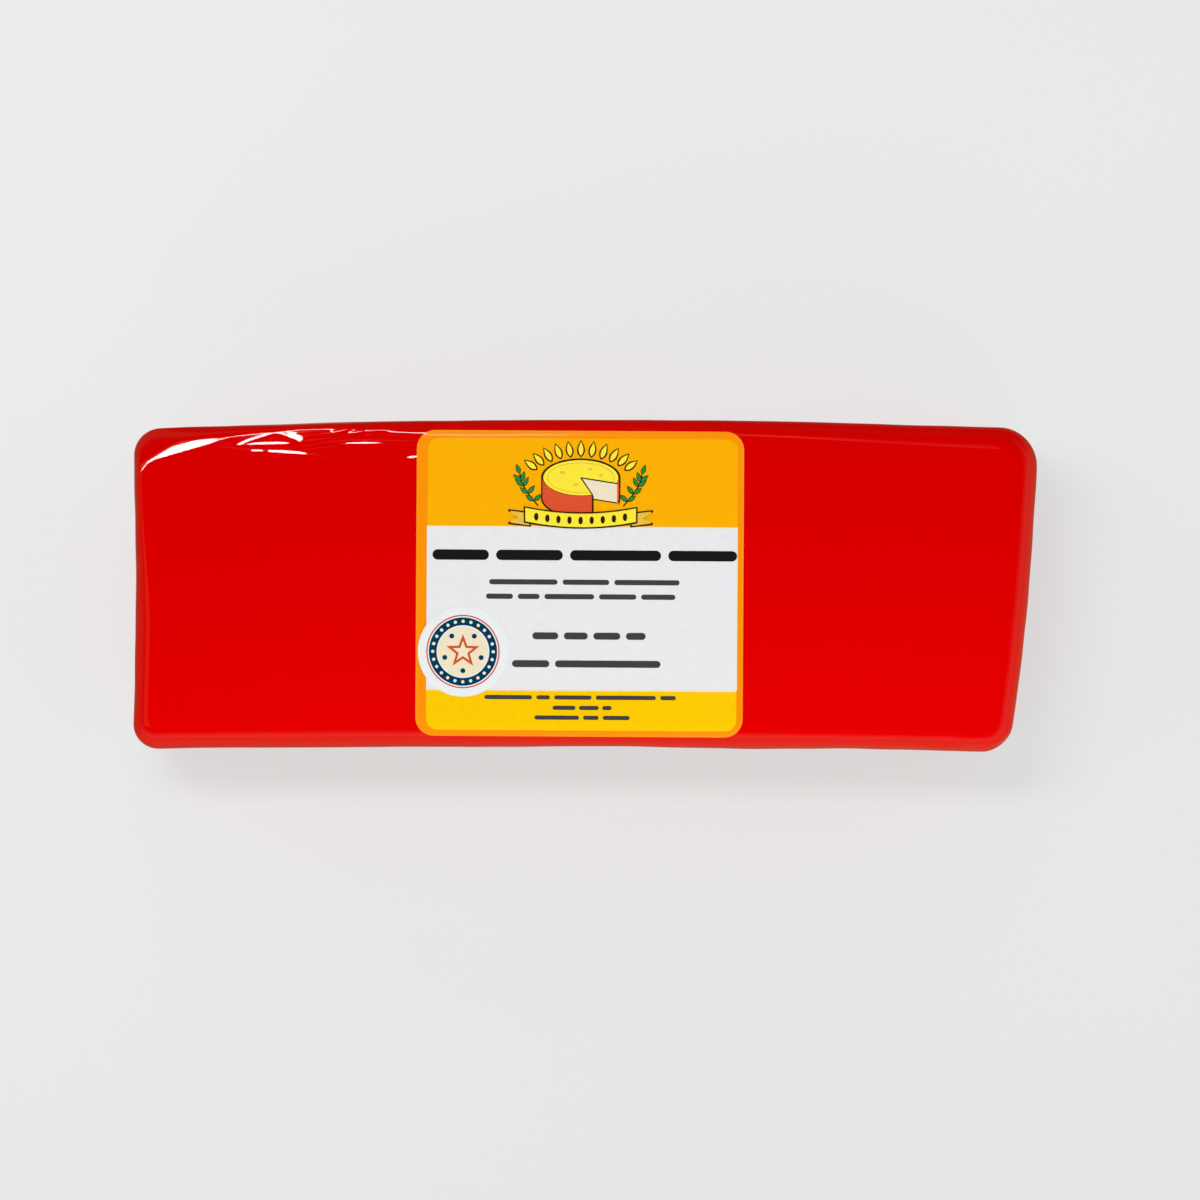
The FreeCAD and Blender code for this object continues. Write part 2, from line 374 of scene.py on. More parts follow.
def block_grid(block):
    """The block's closed surface as a grid of points: rows from the face's middle to the base's middle.

    Columns go round the plan. A row is the plan drawn in by an inset and set at a height: on the
    face the inset shrinks, on the rim inset = reach (1 - sin a) and height = top - drop (1 - cos a),
    down the sides the height falls while the middle swells, and the base goes back in.
    """
    u, v, way_u, way_v, corner = plan_columns(block)
    reach, drop = block.rim(u, v)
    top, base = block.height, block.base_round
    deepest = 12.0
    zero = 0 * reach
    rows = [(deepest + zero, k, top + zero, 0.0) for k in np.linspace(1, 0, 19)[:-1] ** 0.85]
    rows += [(mix(reach, deepest, k), 0.0, top + zero, 0.0) for k in np.linspace(1, 0, 54)[:-1] ** 1.25]
    for a in np.linspace(0, np.pi / 2, 18):
        rows.append((reach * (1 - np.sin(a)), 0.0, top - drop * (1 - np.cos(a)), a))
    rows += [(zero, 0.0, mix(top - drop, base, k), np.pi / 2) for k in np.linspace(0, 1, 15)[1:-1]]
    for a in np.linspace(np.pi / 2, np.pi, 8):
        rows.append((base * (1 - np.sin(a)) + zero, 0.0, base * (1 + np.cos(a)) + zero, a))
    rows += [(base + zero, k, zero, np.pi) for k in np.linspace(0, 1, 9)[1:]]
    inset, to_middle, z, a = (np.array(column) for column in zip(*rows))
    to_middle, a = to_middle[:, None], a[:, None]
    round_left = corner * np.exp(-inset / corner)
    past = inset - (corner - round_left)
    core_u = (u - corner * way_u) * (1 - past / block.half_length)
    core_v = (v - corner * way_v) * (1 - past / block.half_width)
    plan_u = (core_u + round_left * way_u) * (1 - to_middle)
    plan_v = (core_v + round_left * way_v) * (1 - to_middle)
    x, y = block.bend(plan_u, plan_v)
    return finish_block(block, x, y, z, a, way_u + 0 * inset, way_v + 0 * inset)


def finish_block(block, x, y, z, a, way_x, way_y):
    """Adds to the grid what is not plain: the face's relief by how level the surface is, the swell of the
    sides as a parabola over their height, and seeded unevenness along the surface's own direction."""
    level = np.clip(np.cos(a), 0, 1) + 0 * x
    flank = np.sin(np.clip(a, 0, np.pi)) + 0 * x
    up = np.clip(z / block.height, 0, 1)
    out = block.side_swell * bow(up) * flank
    out = out + flank * (0.16 * block.broad.at(x, y, 1.4 * z) + 0.05 * block.fine.at(x, y, 1.6 * z)) * bow(up)
    near_right = hump(x, 76, 9) * hump(y, -28, 9) * flank * np.clip(level * 3, 0, 1)
    out = out + 0.16 * near_right * block.ragged.at(x, y, z)
    gathered = hump(np.abs(x), 86, 7) * flank
    out = out + 0.07 * gathered * block.pull.at(0.3 * x, 1.6 * y, 0.5 * z)
    z = z + level * block.relief(x, y)
    return np.stack([x + way_x * out, y + way_y * out, z], -1)


def plan_columns(block):
    """Points round the straight plan with their outward ways and corner radii.

    Columns stand close along the left part of the far side and the far part of the left end,
    where the coat folds, and further apart elsewhere.
    """
    half, width = block.half_length, block.half_width
    near_left, near_right, far_right, far_left = block.corners
    quarter = np.linspace(0, np.pi / 2, 13)[:-1]
    parts = []

    def arc(middle_u, middle_v, radius, first):
        angle = first + quarter
        way = np.cos(angle), np.sin(angle)
        parts.append((middle_u + radius * way[0], middle_v + radius * way[1], *way, radius + 0 * angle))

    def side(start, end, way, radii, places):
        k = places[:-1]
        parts.append((
            mix(start[0], end[0], k), mix(start[1], end[1], k),
            way[0] + 0 * k, way[1] + 0 * k, mix(radii[0], radii[1], k),
        ))

    far_places = np.concatenate([np.linspace(0, 0.63, 96), np.linspace(0.635, 1, 208)])
    left_places = np.concatenate([np.linspace(0, 0.3, 44), np.linspace(0.32, 1, 34)])
    side((-half + near_left, -width), (half - near_right, -width), (0, -1),
         (near_left, near_right), np.linspace(0, 1, 130))
    arc(half - near_right, -width + near_right, near_right, -np.pi / 2)
    side((half, -width + near_right), (half, width - far_right), (1, 0),
         (near_right, far_right), np.linspace(0, 1, 44))
    arc(half - far_right, width - far_right, far_right, 0)
    side((half - far_right, width), (-half + far_left, width), (0, 1),
         (far_right, far_left), far_places)
    arc(-half + far_left, width - far_left, far_left, np.pi / 2)
    side((-half, width - far_left), (-half, -width + near_left), (-1, 0),
         (far_left, near_left), left_places)
    arc(-half + near_left, -width + near_left, near_left, np.pi)
    return [np.concatenate(column) for column in zip(*parts)]


# ---- meshes


def link_mesh(name, points, faces, materials, face_material=None, smooth=True):
    """A mesh object of points in millimetres, with doubles merged and faces turned outwards."""
    mesh = bpy.data.meshes.new(name)
    mesh.from_pydata((points * MM).tolist(), [], faces.tolist())
    for material in materials:
        mesh.materials.append(material)
    if face_material is not None:
        mesh.polygons.foreach_set("material_index", np.asarray(face_material, np.int32))
    tidy_mesh(mesh)
    mesh.polygons.foreach_set("use_smooth", np.full(len(mesh.polygons), smooth))
    if face_material is not None:
        mesh.set_sharp_from_angle(angle=SHARP_FROM)
    mesh.update()
    made = bpy.data.objects.new(name, mesh)
    bpy.context.scene.collection.objects.link(made)
    return made


def tidy_mesh(mesh):
    """Merges doubled points at poles and seams, drops faces with no area and turns normals outwards."""
    work = bmesh.new()
    work.from_mesh(mesh)
    bmesh.ops.remove_doubles(work, verts=work.verts, dist=MERGE)
    bmesh.ops.dissolve_degenerate(work, edges=work.edges, dist=SLIVER)
    bmesh.ops.recalc_face_normals(work, faces=work.faces)
    work.to_mesh(mesh)
    work.free()


def closed_round_grid(points):
    """Faces of a grid of rows and columns whose columns close on themselves."""
    rows, columns = points.shape[:2]
    index = np.arange(rows * columns).reshape(rows, columns)
    beside = np.roll(index, -1, 1)
    faces = np.stack([index[:-1], index[1:], beside[1:], beside[:-1]], -1)
    return points.reshape(-1, 3), faces.reshape(-1, 4)


class Sheaf:
    """Thin closed slabs collected into one mesh, each with its own material."""

    def __init__(self):
        self.points, self.faces, self.material, self.count = [], [], [], 0

    def add(self, top, bottom, material, closed):
        """Joins the grids top and bottom by walls along their free edges. closed joins the columns too."""
        rows, columns = top.shape[:2]
        index = np.arange(rows * columns).reshape(rows, columns)
        beside = np.roll(index, -1, 1) if closed else index[:, 1:]
        here = index if closed else index[:, :-1]
        under = rows * columns
        quads = np.stack([here[:-1], here[1:], beside[1:], beside[:-1]], -1).reshape(-1, 4)
        walls = [self.wall(here[0], beside[0], under), self.wall(beside[-1], here[-1], under)]
        if not closed:
            walls.append(self.wall(index[1:, 0], index[:-1, 0], under))
            walls.append(self.wall(index[:-1, -1], index[1:, -1], under))
        faces = np.concatenate([quads, quads[:, ::-1] + under, *walls])
        self.points.append(np.concatenate([top.reshape(-1, 3), bottom.reshape(-1, 3)]))
        self.faces.append(faces + self.count)
        self.material.append(np.full(len(faces), material))
        self.count += 2 * under

    @staticmethod
    def wall(one, other, under):
        """Quads from an edge line of the top grid down to the bottom grid."""
        return np.stack([one, other, other + under, one + under], -1)

    def make(self, name, materials, smooth=False):
        """The collected slabs as one mesh object."""
        points, faces = np.concatenate(self.points), np.concatenate(self.faces)
        return link_mesh(name, points, faces, materials, np.concatenate(self.material), smooth)


class Paper:
    """A place on the face where flat shapes are laid: it carries label coordinates to the draped face."""

    # share of the coat's folds that shows through, the label's skew and turn, and the step of a slope
    quiet, skew, turn, step = 0.3, 0.0058, 0.0065, 0.05

    def __init__(self, block, label):
        self.block, self.label = block, label

    def place(self, p, q):
        """From the label's own across and up to the block's x and y: a shift with a slight skew and turn."""
        x = self.label.middle_x / MM + p + self.skew * q
        y = self.label.middle_y / MM + q - self.turn * p
        return x, y

    def drape(self, p, q, lift):
        """Points of the draped paper: the face's height plus lift, steepened where the face leans."""
        x, y = self.place(p, q)
        height = self.block.face_height(x, y, self.quiet)
        slope_x = (self.block.face_height(x + self.step, y, self.quiet) - height) / self.step
        slope_y = (self.block.face_height(x, y + self.step, self.quiet) - height) / self.step
        lean = np.sqrt(1 + np.minimum(slope_x**2 + slope_y**2, 3.0))
        return np.stack([x, y, height + lift * lean], -1)

    def lay(self, sheaf, first, second, steps, lift, sink, material, closed=False):
        """Lays a slab between two outlines: rows are straight blends from the first to the second."""
        k = np.linspace(0, 1, steps + 1)[:, None]
        first, second = np.asarray(first, float), np.asarray(second, float)
        p = mix(first[:, 0], second[:, 0], k)
        q = mix(first[:, 1], second[:, 1], k)
        sheaf.add(self.drape(p, q, lift), self.drape(p, q, lift - sink), material, closed)


# ---- outlines, in label coordinates


def both_sides(left, right, bottom, top, corner_bottom, corner_top, rows):
    """Left and right outline of a rounded rectangle, row by row, with rows close together at the corners."""
    bend = (1 - np.cos(np.linspace(0, np.pi / 2, 9)))
    sweep = np.sin(np.linspace(0, np.pi / 2, 9))
    low_q, low_in = bottom + corner_bottom * bend, corner_bottom * (1 - sweep)
    high_q, high_in = top - corner_top * bend[::-1], corner_top * (1 - sweep[::-1])
    middle = np.linspace(low_q[-1], high_q[0], rows + 2)[1:-1]
    q = np.concatenate([low_q, middle, high_q])
    inward = np.concatenate([low_in, 0 * middle, high_in])
    return np.stack([left + inward, q], -1), np.stack([right - inward, q], -1)


def ring(middle_p, middle_q, radius_p, radius_q=None, count=72, first=0.0, last=360.0, loop=True):
    """Points on an ellipse from the first to the last angle, in degrees from the right."""
    angle = np.radians(np.linspace(first, last, count + (0 if loop else 1), endpoint=not loop))
    radius_q = radius_p if radius_q is None else radius_q
    return np.stack([middle_p + radius_p * np.cos(angle), middle_q + radius_q * np.sin(angle)], -1)


def star(middle_p, middle_q, outer, inner, points):
    """A star's outline: straight edges between points on an outer and an inner circle."""
    angle = np.pi / 2 + np.arange(2 * points + 1) * np.pi / points
    radius = np.where(np.arange(2 * points + 1) % 2 == 0, outer, inner)
    tips = np.stack([middle_p + radius * np.cos(angle), middle_q + radius * np.sin(angle)], -1)
    k = np.linspace(0, 1, 5)[:-1]
    return mix(tips[:-1, None], tips[1:, None], k[None, :, None]).reshape(-1, 2)


def leaf(root, tip, width, count=12):
    """Two edges of a leaf from root to tip, each standing off the midrib by half the width times a sine."""
    k = np.linspace(0, 1, count + 1)[:, None]
    root, tip = np.array(root, float), np.array(tip, float)
    rib = mix(root, tip, k)
    way = (tip - root) / np.hypot(*(tip - root))
    off = np.array([-way[1], way[0]]) * width / 2 * np.sin(np.pi * k**0.8)
    return rib + off, rib - off


def fan(middle, line):
    """The two edges of a filled outline: its middle, again and again, and the outline."""
    return np.tile(middle, (len(line), 1)), line


def stroke(line, width):
    """Two edges of a drawn line: the line moved to both sides by half its width."""
    way = np.gradient(line, axis=0)
    way /= np.linalg.norm(way, axis=1, keepdims=True)
    off = np.stack([-way[:, 1], way[:, 0]], -1) * width / 2
    return line + off, line - off


# ---- materials


class Nodes:
    """The node tree of a material or a world, with short ways to add and join its nodes."""

    def __init__(self, owner):
        self.owner = owner
        owner.use_nodes = True
        self.tree = owner.node_tree
        self.tree.nodes.clear()

    def put(self, socket, value):
        """Links another socket into this one, or sets a plain value on it."""
        if isinstance(value, bpy.types.NodeSocket):
            self.tree.links.new(value, socket)
        else:
            socket.default_value = value

    def add(self, kind, **inputs):
        """Adds a node and feeds its inputs by name, with an underscore for each space."""
        node = self.tree.nodes.new("ShaderNode" + kind)
        for name, value in inputs.items():
            self.put(node.inputs[name.replace("_", " ")], value)
        return node

    def place(self):
        """Object coordinates."""
        return self.add("TexCoord").outputs["Object"]

    def axes(self, vector):
        """The X, Y and Z of a vector."""
        return self.add("SeparateXYZ", Vector=vector).outputs

    def noise(self, scale, detail, roughness=0.5):
        """Noise on Object coordinates, with its scale in waves a metre."""
        node = self.add("TexNoise", Vector=self.place(), Scale=scale, Detail=detail, Roughness=roughness)
        return node.outputs["Fac"]

    def spread(self, value, low, high, to_low=0.0, to_high=1.0):
        """Carries a value from one range to another, held at its ends."""
        node = self.add("MapRange", Value=value, From_Min=low, From_Max=high, To_Min=to_low, To_Max=to_high)
        return node.outputs["Result"]

    def maths(self, operation, one, other=0.0):
        """A Math node of two values."""
        node = self.add("Math")
        node.operation = operation
        self.put(node.inputs[0], one)
        self.put(node.inputs[1], other)
        return node.outputs[0]

    def product(self, first, *others):
        """All the values multiplied."""
        for other in others:
            first = self.maths("MULTIPLY", first, other)
        return first

    def blend(self, factor, one, other):
        """A colour between one and other."""
        node = self.add("Mix")
        node.data_type = "RGBA"
        for index, value in ((0, factor), (6, one), (7, other)):
            self.put(node.inputs[index], value)
        return node.outputs[2]

    def either(self, factor, one, other):
        """A shader between one and other."""
        node = self.add("MixShader", Fac=factor)
        self.put(node.inputs[1], one)
        self.put(node.inputs[2], other)
        return node.outputs[0]

    def glow(self, kind, tone, strength):
        """An Emission or Background shader."""
        return self.add(kind, Color=tone, Strength=strength).outputs[0]

    def bump(self, height, strength, distance):
        """A bump of a height in metres."""
        return self.add("Bump", Height=height, Strength=strength, Distance=distance).outputs["Normal"]

    def coated(self, tint, roughness, weight, coat_roughness, coat_ior, **normals):
        """A dull body under a clear smooth coat."""
        shader = self.add(
            "BsdfPrincipled",
            Base_Color=tint,
            Roughness=roughness,
            Specular_IOR_Level=0.0,
            Coat_Weight=weight,
            Coat_Roughness=coat_roughness,
            Coat_IOR=coat_ior,
            **normals,
        )
        return self.finish(shader.outputs["BSDF"])

    def finish(self, surface):
        """Joins the surface to the output and gives back the material or world."""
        self.add("Output" + type(self.owner).__name__, Surface=surface)
        return self.owner


def solid(rgb):
    """Red, green and blue with full alpha."""
    return (*rgb, 1.0)


def dimmed(rgb, part):
    """A colour made darker by a part of itself."""
    return solid([c * (1 - part) for c in rgb])


def red_coat(colours):
    """Glossy red wax under a tight clear film, with painted shade that darkens it a little towards the far
    side, slow drifts of red, faint clouding and a fine uneven skin."""
    n = Nodes(bpy.data.materials.new("red_coat"))
    # painted shade: this ramp darkens the red by 17 percent from the near side to the far side, as if less
    # light fell there; the coat is no thicker there
    thicker = n.spread(n.axes(n.place())["Y"], -0.030, 0.032)
    drift = n.spread(n.noise(26.0, 3.0), 0.35, 0.68)
    cloud = n.spread(n.noise(210.0, 4.0, 0.6), 0.30, 0.75, 0.0, 0.28)
    tint = n.blend(thicker, solid(colours.coat), dimmed(colours.coat, 0.17))
    tint = n.blend(n.spread(drift, 0.0, 1.0, 0.0, 0.12), tint, solid(colours.coat_deep))
    tint = n.blend(cloud, tint, solid(colours.coat_deep))
    skin = n.noise(330.0, 2.0)
    dull, gloss = n.bump(skin, 0.10, 0.0003), n.bump(skin, 0.02, 0.0002)
    return n.coated(tint, 0.5, 1.0, 0.03, 1.7, Normal=dull, Coat_Normal=gloss)


def smooth_stock(name, rgb, cloud, dim, grain, bump, rim=None):
    """Smooth print or paper: its colour clouded by noise, a fine grain as bump, and a thin clear coat.

    cloud and grain are noise settings, dim is how much darker the clouds are, and bump is the
    grain's strength and depth. rim is the label and the colour of its cut edge.
    """
    n = Nodes(bpy.data.materials.new(name))
    tint = n.blend(n.spread(n.noise(*cloud), 0.3, 0.7), solid(rgb), dimmed(rgb, dim))
    if rim is not None:
        tint = n.blend(rim_mask(n, rim[0]), tint, solid(rim[1]))
    return n.coated(tint, 0.6, 0.28, 0.08, 1.4, Normal=n.bump(n.noise(*grain), *bump))


def paper(name, rgb, rim=None):
    """Label stock: faint fibre clouding and grain, and with rim a lighter cut edge."""
    return smooth_stock(name, rgb, (420.0, 5.0, 0.65), 0.035, (2600.0, 4.0, 0.6), (0.12, 0.0001), rim)


def ink(name, rgb):
    """Printing ink: an even colour with a faint press mottle and a slight sheen."""
    return smooth_stock(name, rgb, (900.0, 3.0, 0.6), 0.04, (3000.0, 2.0), (0.08, 0.00008))


def rim_mask(n, label, rim_width=0.35 * MM, soft=0.0001):
    """1 within the rim's width of the label's edge: how far x and y together pass the corner's middle."""
    axes = n.axes(n.place())
    square = []
    for axis, middle, size in (("X", label.middle_x, label.width), ("Y", label.middle_y, label.depth)):
        away = n.maths("ABSOLUTE", n.maths("SUBTRACT", axes[axis], middle))
        past = n.maths("MAXIMUM", n.maths("SUBTRACT", away, size / 2 - label.corner))
        square.append(n.maths("POWER", past, 2.0))
    edge = label.corner - rim_width
    return n.spread(n.maths("SQRT", n.maths("ADD", *square)), edge - soft, edge + soft)


def toward_near_right(n, x, y):
    """How far a place or a direction is to the near side, and less so to the right."""
    return n.maths("SUBTRACT", n.maths("MULTIPLY", x, 0.45), y)


def floor_material(colours):
    """Pale floor: to the camera mostly its own even colour, with a part that keeps the block's shadow.

    By the block its own colour is a little cooler, to make up for the red that the block throws on
    it, and beyond the near circle it is all its own colour, so it meets the air without a line. To
    glossy rays it is bright to the near right, dim at the left, dark at the far side, and pink
    right beside the block.
    """
    n = Nodes(bpy.data.materials.new("pale_floor"))
    x, y, _ = n.axes(n.place())
    away = n.add("VectorMath", Vector=n.place())
    away.operation = "LENGTH"
    away = away.outputs["Value"]
    past_x = n.maths("SUBTRACT", n.maths("ABSOLUTE", x), FOOT_X)
    past_y = n.maths("SUBTRACT", n.maths("ABSOLUTE", y), FOOT_Y)
    past = n.maths("MAXIMUM", past_x, past_y)
    tone = n.blend(n.spread(past, 0.0, 0.10, 1.0, 0.0), solid(colours.floor), solid(colours.floor_by_block))
    own = n.glow("Emission", tone, n.spread(away, NEAR, FAR, OWN_NEAR, 1.0))
    lit = n.add("BsdfDiffuse", Color=solid(colours.floor_lit)).outputs[0]
    seen = n.either(n.spread(away, NEAR, FAR, SHADOWED_NEAR, 0.0), own, lit)
    beside = n.spread(past, 0.003, 0.022, 1.0, 0.0)
    bright = n.spread(toward_near_right(n, x, y), -0.06, 0.06, 0.02, 0.22)
    bright = n.maths("MAXIMUM", bright, n.spread(x, -FOOT_X, -0.100, 0.0, 0.10))
    bright = n.maths("MAXIMUM", bright, n.product(beside, 0.55))
    glossy = n.glow("Emission", n.blend(beside, WARM_WHITE, PINK_BOUNCE), bright)
    rays = n.add("LightPath").outputs
    unseen = n.either(rays["Is Glossy Ray"], lit, glossy)
    return n.finish(n.either(rays["Is Camera Ray"], unseen, seen))


def studio_world(colours, ambient):
    """Even pale air to the camera, an ambient on surfaces that is brighter low down, and for gloss a dark
    top with a soft bright band to the near right, a dim spill round the softbox and a warm left side."""
    n = Nodes(bpy.data.worlds.new("studio_air"))
    x, y, z = n.axes(n.add("TexCoord").outputs["Generated"])
    side = n.spread(toward_near_right(n, x, y), -0.6, 0.9, 0.03, 0.34)
    band = n.product(n.spread(z, 0.05, 0.55, 1.0, 0.0), side)
    spill = n.product(
        n.spread(y, 0.07, 0.13),
        n.spread(y, 0.25, 0.50, 1.0, 0.0),
        n.spread(x, -0.10, 0.12, 1.0, 0.0),
        n.spread(z, 0.6, 0.8, 0.0, 0.80),
    )
    sideways = n.maths("ABSOLUTE", y)
    warm = n.product(
        n.spread(x, -0.15, -0.38), n.spread(z, 0.45, 0.62), n.spread(sideways, 0.2, 0.45, 1.0, 0.0)
    )
    bright = n.maths("ADD", n.maths("ADD", band, spill), n.product(warm, 0.32))
    glossy = n.glow("Background", n.blend(warm, PALE_AIR, WARM_SIDE), bright)
    even = n.glow("Background", (1.0, 1.0, 1.0, 1.0), n.spread(z, 0.0, 1.0, ambient * 3.0, 0.0))
    seen = n.glow("Background", solid(colours.floor), 1.0)
    rays = n.add("LightPath").outputs
    unseen = n.either(rays["Is Glossy Ray"], even, glossy)
    return n.finish(n.either(rays["Is Camera Ray"], unseen, seen))


# ---- pieces


def settings(context):
    """A place to lay shapes on the block's face, the label's sizes and the colours."""
    scene = context.scene
    label = scene.cheddar_label_sizes
    return Paper(Block(scene.cheddar_block_sizes), label), label, scene.cheddar_colours


def attach(piece, slot, *nodes):
    """The piece moves with the body and stands for the CAD nodes, which are hidden; slot is not used."""
    bpy.data.collections[FILL_LIT].objects.link(piece)
    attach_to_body(piece, "root")
    if nodes:
        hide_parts(*nodes)


class Maker:
    """What every operator here shares."""

    bl_options = {"REGISTER", "UNDO"}


class CHEDDAR_OT_block(Maker, bpy.types.Operator):
    """Makes the waxed block"""

    bl_idname = "cheddar.block"
    bl_label = "Waxed Block"

    def execute(self, context):
        """One closed skin from the face's middle, over the rim and sides, to the base's middle."""
        on, _, colours = settings(context)
        points, faces = closed_round_grid(block_grid(on.block))
        piece = link_mesh("waxed_block", points, faces, [red_coat(colours)])
        attach(piece, "red_coat", "cheddar_block")
        return {"FINISHED"}


class CHEDDAR_OT_label(Maker, bpy.types.Operator):
    """Makes the label sheet and its printed fields"""

    bl_idname = "cheddar.label"
    bl_label = "Paper Label"

    def execute(self, context):
        """A draped rounded sheet, and over it three fields inside an even border."""
        on, label, colours = settings(context)
        half_p, half_q, corner = label.width / MM / 2, label.depth / MM / 2, label.corner / MM
        thick, tint = label.thickness / MM, label.ink / MM
        sheet = Sheaf()
        left, right = both_sides(-half_p, half_p, -half_q, half_q, corner, corner, 110)
        on.lay(sheet, left, right, 120, thick, thick + SINK, 0)
        piece = sheet.make(
            "label_sheet", [paper("label_stock", colours.stock, (label, colours.stock_rim))], True
        )
        attach(piece, "label_paper", "paper_label")
        fields = Sheaf()
        for bottom, top, low_round, high_round, left_p, right_p, material in (
            (10.9, 28.1, 0.02, 2.2, -29.5, 30.5, 0),
            (-20.4, 10.9, 0.02, 0.02, -29.6, 30.5, 1),
            (-28.4, -20.6, 2.2, 0.02, -29.6, 30.4, 2),
            (10.85, 11.1, 0.02, 0.02, -29.5, 30.5, 3),
            (-20.75, -20.4, 0.02, 0.02, -29.6, 30.4, 3),
        ):
            left, right = both_sides(left_p, right_p, bottom, top, low_round, high_round, 60)
            extra = 0.012 if material == 3 else 0.0
            on.lay(fields, left, right, 110, thick + tint + extra, 0.045, material)
        piece = fields.make(
            "label_fields",
            [ink("amber_ink", colours.amber), ink("white_field", colours.white),
             ink("yellow_ink", colours.yellow), ink("cream_fringe", colours.cream)],
            smooth=True,
        )
        attach(piece, "label_paper")
        return {"FINISHED"}


class CHEDDAR_OT_lines(Maker, bpy.types.Operator):
    """Makes the rows of plain rounded bars that stand where a label carries its lines"""

    bl_idname = "cheddar.lines"
    bl_label = "Printed Lines"

    # middle height, bar height, left end, bar lengths, gap between bars, black or grey
    rows = (
        (5.5, 2.0, -28.5, (10.9, 12.9, 17.6, 13.3), 1.4, 0),
        (0.3, 1.0, -17.5, (13.2, 9.0, 12.6), 1.0, 1),
        (-2.5, 1.0, -18.1, (5.2, 4.2, 9.6, 7.2, 6.6), 0.95, 1),
        (-10.1, 1.35, -9.1, (5.0, 4.6, 5.2, 3.8), 1.1, 1),
        (-15.5, 1.35, -13.0, (7.2, 20.4), 1.1, 1),
        (-22.0, 0.8, -18.3, (9.2, 2.6, 7.2, 11.6, 3.0), 0.85, 1),
        (-24.0, 0.8, -5.1, (4.4, 3.8, 1.8), 0.7, 1),
        (-25.9, 0.8, -8.6, (8.6, 3.0, 5.2), 0.8, 1),
    )

    def execute(self, context):
        """Each bar is a straight run between two half rounds, laid as a thin slab."""
        on, label, colours = settings(context)
        lift = (label.thickness + 2 * label.ink) / MM
        sheaf = Sheaf()
        turn = np.linspace(-np.pi / 2, np.pi / 2, 17)
        for middle, high, start, bars, gap, material in self.rows:
            q = middle + high / 2 * np.sin(turn)
            inward = high / 2 * (1 - np.cos(turn))
            for bar in bars:
                left = np.stack([start + inward, q], -1)
                right = np.stack([start + bar - inward, q], -1)
                on.lay(sheaf, left, right, max(3, int(bar)), lift, SINK, material)
                start += bar + gap
        piece = sheaf.make("label_lines", [ink("black_ink", colours.black), ink("grey_ink", colours.grey)])
        attach(piece, "label_paper")
        return {"FINISHED"}


